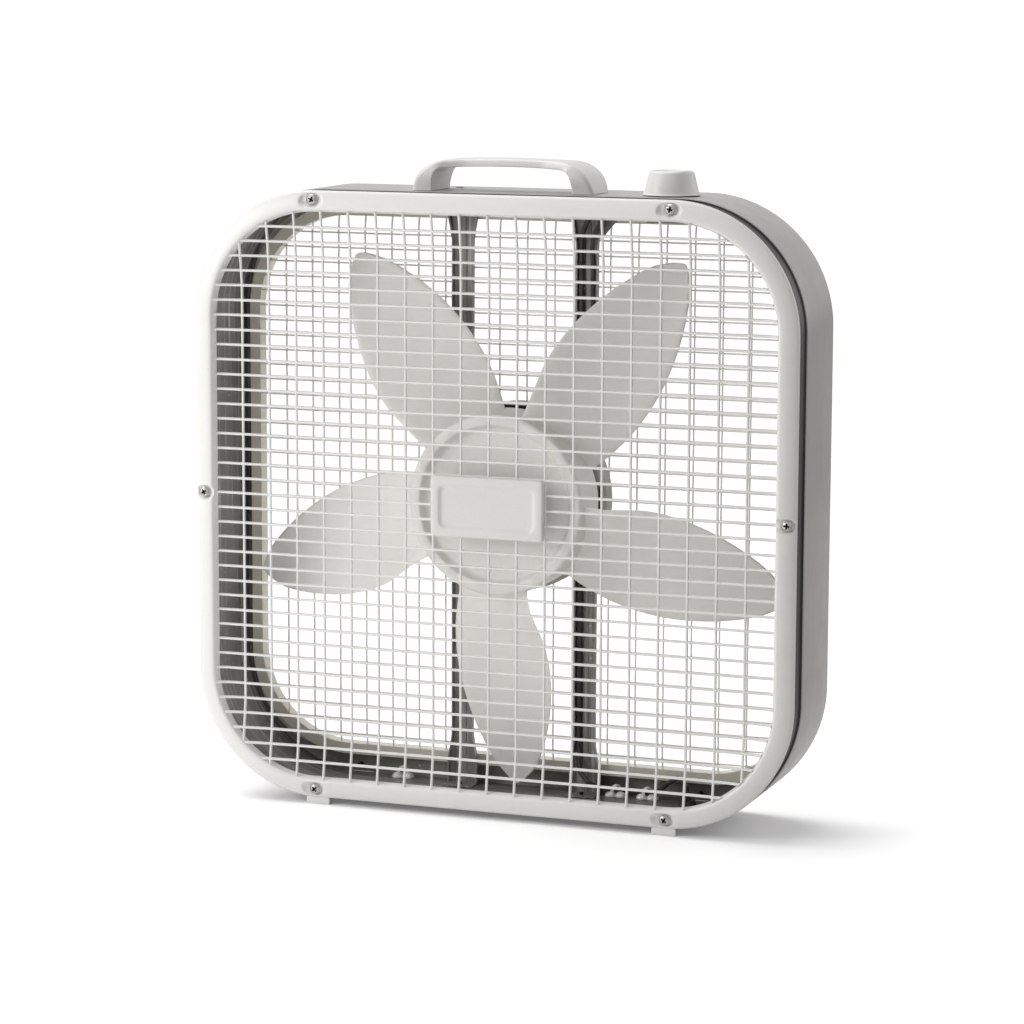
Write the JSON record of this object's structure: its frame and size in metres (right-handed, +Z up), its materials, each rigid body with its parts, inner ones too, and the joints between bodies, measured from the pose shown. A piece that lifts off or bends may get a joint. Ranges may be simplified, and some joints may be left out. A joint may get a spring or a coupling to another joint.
{
  "type": "box fan",
  "caption": "Square box fan: steel body band, moulded grilles front and back, turning propeller on a motor held by two struts, rotary switch knob and carrying handle.",
  "frame": {"origin": "on the floor, under the middle of the body", "axes": "+Z up, -Y towards the front (the side the air leaves), +X to the right seen from the front; the propeller turns about Y"},
  "size_m": [0.528, 0.111, 0.5495],
  "materials": {
    "white_plastic": "satin moulded, warm white",
    "badge_plastic": "satin moulded, blank",
    "beige_plastic": "matt moulded",
    "painted_steel": "satin grey paint outside, bare galvanised inside",
    "galvanised_steel": "rolled, streaky",
    "blade_plastic": "satin moulded, light grey",
    "cover_paint": "matt grey-beige",
    "motor_alloy": "cast, dull",
    "core_iron": "stacked laminations",
    "copper": "lacquered copper wire",
    "bright_steel": "turned, bright",
    "screw_zinc": "zinc plated",
    "black_plastic": "matt",
    "clear_plastic": "milky, glossy",
    "lead_sheath": "smooth sheath"
  },
  "bodies": {
    "housing": {"front_grille": "white_plastic", "rear_grille": "beige_plastic", "front_screw_1": "screw_zinc", "rear_screw_1": "screw_zinc", "front_screw_2": "screw_zinc", "rear_screw_2": "screw_zinc", "front_screw_3": "screw_zinc", "rear_screw_3": "screw_zinc", "front_screw_4": "screw_zinc", "rear_screw_4": "screw_zinc", "front_screw_5": "screw_zinc", "rear_screw_5": "screw_zinc", "front_screw_6": "screw_zinc", "rear_screw_6": "screw_zinc", "badge_plate": "badge_plastic", "housing_band": "painted_steel", "motor_cover": "cover_paint", "motor_front_bell": "motor_alloy", "motor_rear_bell": "motor_alloy", "stator_core": "core_iron", "stator_coil_1": "copper", "stator_coil_2": "copper", "stator_coil_3": "copper", "stator_coil_4": "copper", "front_bearing": "bright_steel", "rear_bearing": "bright_steel", "strut_left": "galvanised_steel", "strut_right": "galvanised_steel", "strut_screw_1": "screw_zinc", "motor_bolt_1": "screw_zinc", "strut_screw_2": "screw_zinc", "motor_bolt_2": "screw_zinc", "strut_screw_3": "screw_zinc", "motor_bolt_3": "screw_zinc", "strut_screw_4": "screw_zinc", "motor_bolt_4": "screw_zinc", "switch_body": "black_plastic", "switch_nut": "bright_steel", "handle": "white_plastic", "handle_screw_1": "screw_zinc", "handle_screw_2": "screw_zinc", "cord_gland": "black_plastic", "lead_clip_1": "clear_plastic", "lead_clip_2": "clear_plastic", "lead_clip_3": "clear_plastic", "mains_lead": "lead_sheath", "motor_lead": "lead_sheath"},
    "fan": {"propeller": "blade_plastic", "hub_clip": "bright_steel", "motor_shaft": "bright_steel", "rotor_core": "core_iron"},
    "knob": {"knob": "white_plastic", "switch_shaft": "bright_steel"}
  },
  "joints": [
    {"name": "fan_spin", "type": "hinge", "parent": "housing", "child": "fan", "pos_m": [0, 0, 0.264], "axis": [0, 1, 0], "continuous": true},
    {"name": "knob_turn", "type": "hinge", "parent": "housing", "child": "knob", "pos_m": [0.14, 0, 0.5235], "axis": [0, 0, 1], "range_deg": [-135, 0]}
  ]
}
